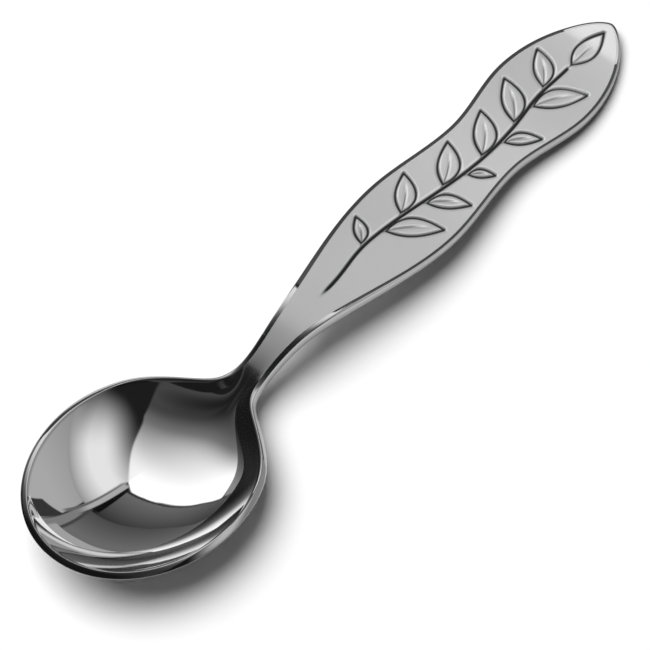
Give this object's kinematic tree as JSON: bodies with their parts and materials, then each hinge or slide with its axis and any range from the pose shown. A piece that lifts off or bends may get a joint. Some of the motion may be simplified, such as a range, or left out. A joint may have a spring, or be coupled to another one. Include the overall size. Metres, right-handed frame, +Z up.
{
  "type": "table spoon",
  "caption": "Small one-piece stainless steel table spoon with an oval polished bowl, a narrow neck and a waisted satin handle.",
  "frame": {"origin": "on the table, under the middle of the spoon's length and width", "axes": "+X from the bowl's tip to the handle's end, +Y across, +Z up out of the bowl"},
  "size_m": [0.1498, 0.0368, 0.0108],
  "materials": {
    "polished_steel": "bare stainless steel, mirror polished",
    "satin_steel": "bare stainless steel, blasted to a fine satin"
  },
  "bodies": {
    "root": {"bowl": "polished_steel", "neck": "polished_steel", "handle": "satin_steel"}
  },
  "joints": []
}
